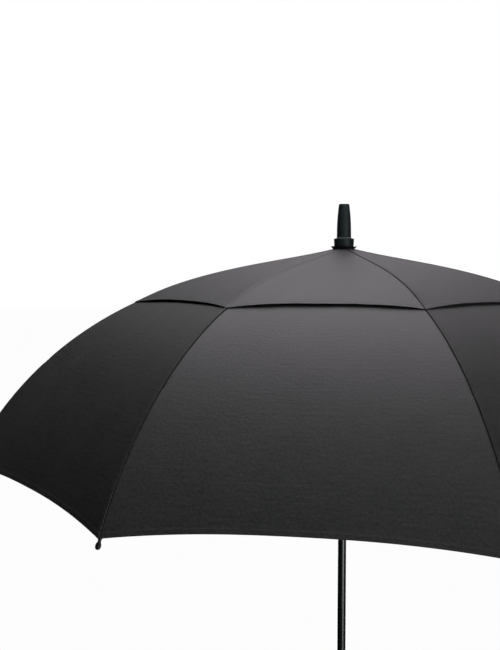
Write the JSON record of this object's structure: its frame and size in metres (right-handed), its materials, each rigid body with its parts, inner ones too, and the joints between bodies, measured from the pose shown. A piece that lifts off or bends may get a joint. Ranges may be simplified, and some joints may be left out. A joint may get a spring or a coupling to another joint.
{
  "type": "golf umbrella",
  "caption": "Large open umbrella with a vented double canopy, flexible ribs and stretchers on a sliding runner, a straight shaft with a grip and a tapered ferrule.",
  "frame": {"origin": "centre of the flat bottom face of the handle end cap, on the axis of the shaft", "axes": "+Z along the shaft from the handle to the ferrule, -Y is the front, which the latch of the runner faces"},
  "size_m": [1.1656, 1.1656, 1.0203],
  "materials": {
    "canopy": "charcoal pongee, fine plain weave, satin",
    "canopy_top": "charcoal pongee, fine plain weave, satin",
    "rib_fibre": "black fibreglass, satin gloss",
    "shaft_fibre": "black fibreglass tube, clear coat",
    "moulded_black": "moulded black nylon, fine texture",
    "ferrule": "dark moulded plastic, satin",
    "grip_rubber": "soft-touch rubber, matt",
    "steel": "nickel-plated wire and ring"
  },
  "bodies": {
    "shaft_and_handle": {"shaft": "shaft_fibre", "handle_grip": "grip_rubber", "handle_end_cap": "moulded_black", "handle_collar": "moulded_black", "notch": "moulded_black", "rosette": "canopy", "ferrule_collar": "ferrule", "ferrule_tip": "ferrule", "runner_stop": "steel"},
    "rib_1": {"rib_1_inner": "rib_fibre"},
    "rib_1_end": {"rib_1_outer": "rib_fibre", "rib_1_tip": "moulded_black"},
    "stretcher_1": {"stretcher_1": "rib_fibre"},
    "vent_gore_1": {"upper_gore_1": "canopy_top"},
    "main_gore_1": {"lower_gore_1": "canopy"},
    "rib_2": {"rib_2_inner": "rib_fibre"},
    "rib_2_end": {"rib_2_outer": "rib_fibre", "rib_2_tip": "moulded_black"},
    "stretcher_2": {"stretcher_2": "rib_fibre"},
    "vent_gore_2": {"upper_gore_2": "canopy_top"},
    "main_gore_2": {"lower_gore_2": "canopy"},
    "rib_3": {"rib_3_inner": "rib_fibre"},
    "rib_3_end": {"rib_3_outer": "rib_fibre", "rib_3_tip": "moulded_black"},
    "stretcher_3": {"stretcher_3": "rib_fibre"},
    "vent_gore_3": {"upper_gore_3": "canopy_top"},
    "main_gore_3": {"lower_gore_3": "canopy"},
    "rib_4": {"rib_4_inner": "rib_fibre"},
    "rib_4_end": {"rib_4_outer": "rib_fibre", "rib_4_tip": "moulded_black"},
    "stretcher_4": {"stretcher_4": "rib_fibre"},
    "vent_gore_4": {"upper_gore_4": "canopy_top"},
    "main_gore_4": {"lower_gore_4": "canopy"},
    "rib_5": {"rib_5_inner": "rib_fibre"},
    "rib_5_end": {"rib_5_outer": "rib_fibre", "rib_5_tip": "moulded_black"},
    "stretcher_5": {"stretcher_5": "rib_fibre"},
    "vent_gore_5": {"upper_gore_5": "canopy_top"},
    "main_gore_5": {"lower_gore_5": "canopy", "closure_strap": "canopy"},
    "rib_6": {"rib_6_inner": "rib_fibre"},
    "rib_6_end": {"rib_6_outer": "rib_fibre", "rib_6_tip": "moulded_black"},
    "stretcher_6": {"stretcher_6": "rib_fibre"},
    "vent_gore_6": {"upper_gore_6": "canopy_top"},
    "main_gore_6": {"lower_gore_6": "canopy"},
    "rib_7": {"rib_7_inner": "rib_fibre"},
    "rib_7_end": {"rib_7_outer": "rib_fibre", "rib_7_tip": "moulded_black"},
    "stretcher_7": {"stretcher_7": "rib_fibre"},
    "vent_gore_7": {"upper_gore_7": "canopy_top"},
    "main_gore_7": {"lower_gore_7": "canopy"},
    "rib_8": {"rib_8_inner": "rib_fibre"},
    "rib_8_end": {"rib_8_outer": "rib_fibre", "rib_8_tip": "moulded_black"},
    "stretcher_8": {"stretcher_8": "rib_fibre"},
    "vent_gore_8": {"upper_gore_8": "canopy_top"},
    "main_gore_8": {"lower_gore_8": "canopy"},
    "runner": {"runner": "moulded_black"},
    "latch": {"runner_latch": "moulded_black"}
  },
  "joints": [
    {"name": "fold", "type": "hinge", "parent": "shaft_and_handle", "child": "rib_1", "pos_m": [0.00384, -0.01182, 0.93991], "axis": [0.9511, 0.309, 0], "range_deg": [0, 74.26]},
    {"name": "flex_rib_1", "type": "hinge", "parent": "rib_1", "child": "rib_1_end", "pos_m": [0.10632, -0.32721, 0.85663], "axis": [0.9511, 0.309, 0], "range_deg": [-31.72, 0]},
    {"name": "swing_stretcher_1", "type": "hinge", "parent": "rib_1", "child": "stretcher_1", "pos_m": [0.10315, -0.31747, 0.85416], "axis": [0.9511, 0.309, 0], "range_deg": [-148.52, 0]},
    {"name": "gather_vent_gore_1", "type": "hinge", "parent": "shaft_and_handle", "child": "vent_gore_1", "pos_m": [0.0052, -0.00609, 0.94455], "axis": [0.7604, 0.6494, 0], "range_deg": [0, 70.8], "deforming": ["upper_gore_1"]},
    {"name": "gather_main_gore_1", "type": "hinge", "parent": "shaft_and_handle", "child": "main_gore_1", "pos_m": [-0.08186, 0.09585, 1.02558], "axis": [0.7604, 0.6494, 0], "range_deg": [0, 46.44], "deforming": ["lower_gore_1"]},
    {"name": "fold_rib_2", "type": "hinge", "parent": "shaft_and_handle", "child": "rib_2", "pos_m": [0.01107, -0.00564, 0.93991], "axis": [0.454, 0.891, 0], "range_deg": [0, 74.26]},
    {"name": "flex_rib_2", "type": "hinge", "parent": "rib_2", "child": "rib_2_end", "pos_m": [0.30655, -0.15619, 0.85663], "axis": [0.454, 0.891, 0], "range_deg": [-31.72, 0]},
    {"name": "swing_stretcher_2", "type": "hinge", "parent": "rib_2", "child": "stretcher_2", "pos_m": [0.29742, -0.15154, 0.85416], "axis": [0.454, 0.891, 0], "range_deg": [-148.52, 0]},
    {"name": "gather_vent_gore_2", "type": "hinge", "parent": "shaft_and_handle", "child": "vent_gore_2", "pos_m": [0.00799, -0.00063, 0.94455], "axis": [0.0785, 0.9969, 0], "range_deg": [0, 70.8], "deforming": ["upper_gore_2"]},
    {"name": "gather_main_gore_2", "type": "hinge", "parent": "shaft_and_handle", "child": "main_gore_2", "pos_m": [-0.12566, 0.00989, 1.02558], "axis": [0.0785, 0.9969, 0], "range_deg": [0, 46.44], "deforming": ["lower_gore_2"]},
    {"name": "fold_rib_3", "type": "hinge", "parent": "shaft_and_handle", "child": "rib_3", "pos_m": [0.01182, 0.00384, 0.93991], "axis": [-0.309, 0.9511, 0], "range_deg": [0, 74.26]},
    {"name": "flex_rib_3", "type": "hinge", "parent": "rib_3", "child": "rib_3_end", "pos_m": [0.32721, 0.10632, 0.85663], "axis": [-0.309, 0.9511, 0], "range_deg": [-31.72, 0]},
    {"name": "swing_stretcher_3", "type": "hinge", "parent": "rib_3", "child": "stretcher_3", "pos_m": [0.31747, 0.10315, 0.85416], "axis": [-0.309, 0.9511, 0], "range_deg": [-148.52, 0]},
    {"name": "gather_vent_gore_3", "type": "hinge", "parent": "shaft_and_handle", "child": "vent_gore_3", "pos_m": [0.00609, 0.0052, 0.94455], "axis": [-0.6494, 0.7604, 0], "range_deg": [0, 70.8], "deforming": ["upper_gore_3"]},
    {"name": "gather_main_gore_3", "type": "hinge", "parent": "shaft_and_handle", "child": "main_gore_3", "pos_m": [-0.09585, -0.08186, 1.02558], "axis": [-0.6494, 0.7604, 0], "range_deg": [0, 46.44], "deforming": ["lower_gore_3"]},
    {"name": "fold_rib_4", "type": "hinge", "parent": "shaft_and_handle", "child": "rib_4", "pos_m": [0.00564, 0.01107, 0.93991], "axis": [-0.891, 0.454, 0], "range_deg": [0, 74.26]},
    {"name": "flex_rib_4", "type": "hinge", "parent": "rib_4", "child": "rib_4_end", "pos_m": [0.15619, 0.30655, 0.85663], "axis": [-0.891, 0.454, 0], "range_deg": [-31.72, 0]},
    {"name": "swing_stretcher_4", "type": "hinge", "parent": "rib_4", "child": "stretcher_4", "pos_m": [0.15154, 0.29742, 0.85416], "axis": [-0.891, 0.454, 0], "range_deg": [-148.52, 0]},
    {"name": "gather_vent_gore_4", "type": "hinge", "parent": "shaft_and_handle", "child": "vent_gore_4", "pos_m": [0.00063, 0.00799, 0.94455], "axis": [-0.9969, 0.0785, 0], "range_deg": [0, 70.8], "deforming": ["upper_gore_4"]},
    {"name": "gather_main_gore_4", "type": "hinge", "parent": "shaft_and_handle", "child": "main_gore_4", "pos_m": [-0.00989, -0.12566, 1.02558], "axis": [-0.9969, 0.0785, 0], "range_deg": [0, 46.44], "deforming": ["lower_gore_4"]},
    {"name": "fold_rib_5", "type": "hinge", "parent": "shaft_and_handle", "child": "rib_5", "pos_m": [-0.00384, 0.01182, 0.93991], "axis": [-0.9511, -0.309, 0], "range_deg": [0, 74.26]},
    {"name": "flex_rib_5", "type": "hinge", "parent": "rib_5", "child": "rib_5_end", "pos_m": [-0.10632, 0.32721, 0.85663], "axis": [-0.9511, -0.309, 0], "range_deg": [-31.72, 0]},
    {"name": "swing_stretcher_5", "type": "hinge", "parent": "rib_5", "child": "stretcher_5", "pos_m": [-0.10315, 0.31747, 0.85416], "axis": [-0.9511, -0.309, 0], "range_deg": [-148.52, 0]},
    {"name": "gather_vent_gore_5", "type": "hinge", "parent": "shaft_and_handle", "child": "vent_gore_5", "pos_m": [-0.0052, 0.00609, 0.94455], "axis": [-0.7604, -0.6494, 0], "range_deg": [0, 70.8], "deforming": ["upper_gore_5"]},
    {"name": "gather_main_gore_5", "type": "hinge", "parent": "shaft_and_handle", "child": "main_gore_5", "pos_m": [0.08186, -0.09585, 1.02558], "axis": [-0.7604, -0.6494, 0], "range_deg": [0, 46.44], "deforming": ["lower_gore_5", "closure_strap"]},
    {"name": "fold_rib_6", "type": "hinge", "parent": "shaft_and_handle", "child": "rib_6", "pos_m": [-0.01107, 0.00564, 0.93991], "axis": [-0.454, -0.891, 0], "range_deg": [0, 74.26]},
    {"name": "flex_rib_6", "type": "hinge", "parent": "rib_6", "child": "rib_6_end", "pos_m": [-0.30655, 0.15619, 0.85663], "axis": [-0.454, -0.891, 0], "range_deg": [-31.72, 0]},
    {"name": "swing_stretcher_6", "type": "hinge", "parent": "rib_6", "child": "stretcher_6", "pos_m": [-0.29742, 0.15154, 0.85416], "axis": [-0.454, -0.891, 0], "range_deg": [-148.52, 0]},
    {"name": "gather_vent_gore_6", "type": "hinge", "parent": "shaft_and_handle", "child": "vent_gore_6", "pos_m": [-0.00799, 0.00063, 0.94455], "axis": [-0.0785, -0.9969, 0], "range_deg": [0, 70.8], "deforming": ["upper_gore_6"]},
    {"name": "gather_main_gore_6", "type": "hinge", "parent": "shaft_and_handle", "child": "main_gore_6", "pos_m": [0.12566, -0.00989, 1.02558], "axis": [-0.0785, -0.9969, 0], "range_deg": [0, 46.44], "deforming": ["lower_gore_6"]},
    {"name": "fold_rib_7", "type": "hinge", "parent": "shaft_and_handle", "child": "rib_7", "pos_m": [-0.01182, -0.00384, 0.93991], "axis": [0.309, -0.9511, 0], "range_deg": [0, 74.26]},
    {"name": "flex_rib_7", "type": "hinge", "parent": "rib_7", "child": "rib_7_end", "pos_m": [-0.32721, -0.10632, 0.85663], "axis": [0.309, -0.9511, 0], "range_deg": [-31.72, 0]},
    {"name": "swing_stretcher_7", "type": "hinge", "parent": "rib_7", "child": "stretcher_7", "pos_m": [-0.31747, -0.10315, 0.85416], "axis": [0.309, -0.9511, 0], "range_deg": [-148.52, 0]},
    {"name": "gather_vent_gore_7", "type": "hinge", "parent": "shaft_and_handle", "child": "vent_gore_7", "pos_m": [-0.00609, -0.0052, 0.94455], "axis": [0.6494, -0.7604, 0], "range_deg": [0, 70.8], "deforming": ["upper_gore_7"]},
    {"name": "gather_main_gore_7", "type": "hinge", "parent": "shaft_and_handle", "child": "main_gore_7", "pos_m": [0.09585, 0.08186, 1.02558], "axis": [0.6494, -0.7604, 0], "range_deg": [0, 46.44], "deforming": ["lower_gore_7"]},
    {"name": "fold_rib_8", "type": "hinge", "parent": "shaft_and_handle", "child": "rib_8", "pos_m": [-0.00564, -0.01107, 0.93991], "axis": [0.891, -0.454, 0], "range_deg": [0, 74.26]},
    {"name": "flex_rib_8", "type": "hinge", "parent": "rib_8", "child": "rib_8_end", "pos_m": [-0.15619, -0.30655, 0.85663], "axis": [0.891, -0.454, 0], "range_deg": [-31.72, 0]},
    {"name": "swing_stretcher_8", "type": "hinge", "parent": "rib_8", "child": "stretcher_8", "pos_m": [-0.15154, -0.29742, 0.85416], "axis": [0.891, -0.454, 0], "range_deg": [-148.52, 0]},
    {"name": "gather_vent_gore_8", "type": "hinge", "parent": "shaft_and_handle", "child": "vent_gore_8", "pos_m": [-0.00063, -0.00799, 0.94455], "axis": [0.9969, -0.0785, 0], "range_deg": [0, 70.8], "deforming": ["upper_gore_8"]},
    {"name": "gather_main_gore_8", "type": "hinge", "parent": "shaft_and_handle", "child": "main_gore_8", "pos_m": [0.00989, 0.12566, 1.02558], "axis": [0.9969, -0.0785, 0], "range_deg": [0, 46.44], "deforming": ["lower_gore_8"]},
    {"name": "runner_on_stretcher", "type": "hinge", "parent": "stretcher_1", "child": "runner", "pos_m": [0.00384, -0.01182, 0.76841], "axis": [0.9511, 0.309, 0], "range_deg": [0, 74.26]},
    {"name": "latch_press", "type": "slide", "parent": "runner", "child": "latch", "axis": [0, 1, 0], "range_m": [0, 0.0024], "stiffness_N_per_m": 1500, "springref_m": -0.0015}
  ],
  "couplings": [
    {"joint": "flex_rib_1", "follows": "fold", "ratio": -0.42714},
    {"joint": "swing_stretcher_1", "follows": "fold", "ratio": -2},
    {"joint": "gather_vent_gore_1", "follows": "fold", "ratio": 0.95338},
    {"joint": "gather_main_gore_1", "follows": "fold", "ratio": 0.62528},
    {"joint": "fold_rib_2", "follows": "fold", "ratio": 1},
    {"joint": "flex_rib_2", "follows": "fold", "ratio": -0.42714},
    {"joint": "swing_stretcher_2", "follows": "fold", "ratio": -2},
    {"joint": "gather_vent_gore_2", "follows": "fold", "ratio": 0.95338},
    {"joint": "gather_main_gore_2", "follows": "fold", "ratio": 0.62528},
    {"joint": "fold_rib_3", "follows": "fold", "ratio": 1},
    {"joint": "flex_rib_3", "follows": "fold", "ratio": -0.42714},
    {"joint": "swing_stretcher_3", "follows": "fold", "ratio": -2},
    {"joint": "gather_vent_gore_3", "follows": "fold", "ratio": 0.95338},
    {"joint": "gather_main_gore_3", "follows": "fold", "ratio": 0.62528},
    {"joint": "fold_rib_4", "follows": "fold", "ratio": 1},
    {"joint": "flex_rib_4", "follows": "fold", "ratio": -0.42714},
    {"joint": "swing_stretcher_4", "follows": "fold", "ratio": -2},
    {"joint": "gather_vent_gore_4", "follows": "fold", "ratio": 0.95338},
    {"joint": "gather_main_gore_4", "follows": "fold", "ratio": 0.62528},
    {"joint": "fold_rib_5", "follows": "fold", "ratio": 1},
    {"joint": "flex_rib_5", "follows": "fold", "ratio": -0.42714},
    {"joint": "swing_stretcher_5", "follows": "fold", "ratio": -2},
    {"joint": "gather_vent_gore_5", "follows": "fold", "ratio": 0.95338},
    {"joint": "gather_main_gore_5", "follows": "fold", "ratio": 0.62528},
    {"joint": "fold_rib_6", "follows": "fold", "ratio": 1},
    {"joint": "flex_rib_6", "follows": "fold", "ratio": -0.42714},
    {"joint": "swing_stretcher_6", "follows": "fold", "ratio": -2},
    {"joint": "gather_vent_gore_6", "follows": "fold", "ratio": 0.95338},
    {"joint": "gather_main_gore_6", "follows": "fold", "ratio": 0.62528},
    {"joint": "fold_rib_7", "follows": "fold", "ratio": 1},
    {"joint": "flex_rib_7", "follows": "fold", "ratio": -0.42714},
    {"joint": "swing_stretcher_7", "follows": "fold", "ratio": -2},
    {"joint": "gather_vent_gore_7", "follows": "fold", "ratio": 0.95338},
    {"joint": "gather_main_gore_7", "follows": "fold", "ratio": 0.62528},
    {"joint": "fold_rib_8", "follows": "fold", "ratio": 1},
    {"joint": "flex_rib_8", "follows": "fold", "ratio": -0.42714},
    {"joint": "swing_stretcher_8", "follows": "fold", "ratio": -2},
    {"joint": "gather_vent_gore_8", "follows": "fold", "ratio": 0.95338},
    {"joint": "gather_main_gore_8", "follows": "fold", "ratio": 0.62528},
    {"joint": "runner_on_stretcher", "follows": "fold", "ratio": 1}
  ]
}
